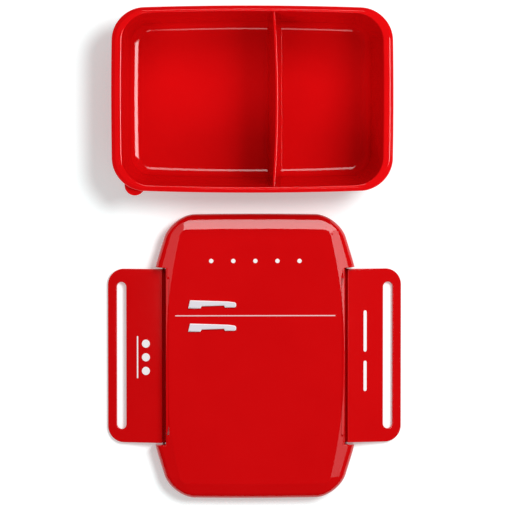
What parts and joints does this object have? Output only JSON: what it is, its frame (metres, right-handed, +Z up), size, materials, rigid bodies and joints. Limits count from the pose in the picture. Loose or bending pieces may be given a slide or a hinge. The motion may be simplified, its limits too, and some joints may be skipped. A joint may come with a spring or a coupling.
{
  "type": "lunch box",
  "caption": "Two-compartment moulded lunch box with a domed lid styled as a small refrigerator door and two side latch flaps, shown open with the lid beside it.",
  "frame": {"origin": "middle of the tub's flat underside, on the surface it stands on", "axes": "+Z up out of the open tub; +X along the tub's long side, towards the smaller compartment; the lid lies on the -Y side of the tub"},
  "size_m": [0.2156, 0.3593, 0.054],
  "materials": {
    "red_plastic": "glossy moulded red plastic",
    "silicone": "soft off-white silicone seal",
    "silver_plastic": "silver-grey with pale bevelled edges",
    "silver_print": "thin pale silver line",
    "white_print": "thin white ink",
    "steel": "plain bright rod"
  },
  "bodies": {
    "tub": {"tub_shell": "red_plastic", "divider": "red_plastic"},
    "lid": {"lid_shell": "red_plastic", "lid_gasket": "silicone", "door_seam_strip": "silver_print", "door_marks": "white_print", "upper_handle": "silver_plastic", "lower_handle": "silver_plastic", "hinge_rod_left": "steel", "hinge_rod_right": "steel"},
    "left_flap": {"latch_flap_left": "red_plastic", "flap_marks_left": "white_print"},
    "right_flap": {"latch_flap_right": "red_plastic", "flap_marks_right": "white_print"}
  },
  "joints": [
    {"name": "lid_lift", "type": "slide", "parent": "tub", "child": "lid", "axis": [0, 0, 1], "range_m": [0, 0.12]},
    {"name": "left_flap_hinge", "type": "hinge", "parent": "lid", "child": "left_flap", "pos_m": [-0.0639, -0.1877, 0.0072], "axis": [0, -1, 0], "range_deg": [-20, 86]},
    {"name": "right_flap_hinge", "type": "hinge", "parent": "lid", "child": "right_flap", "pos_m": [0.0699, -0.1877, 0.0072], "axis": [0, 1, 0], "range_deg": [-20, 86]}
  ]
}
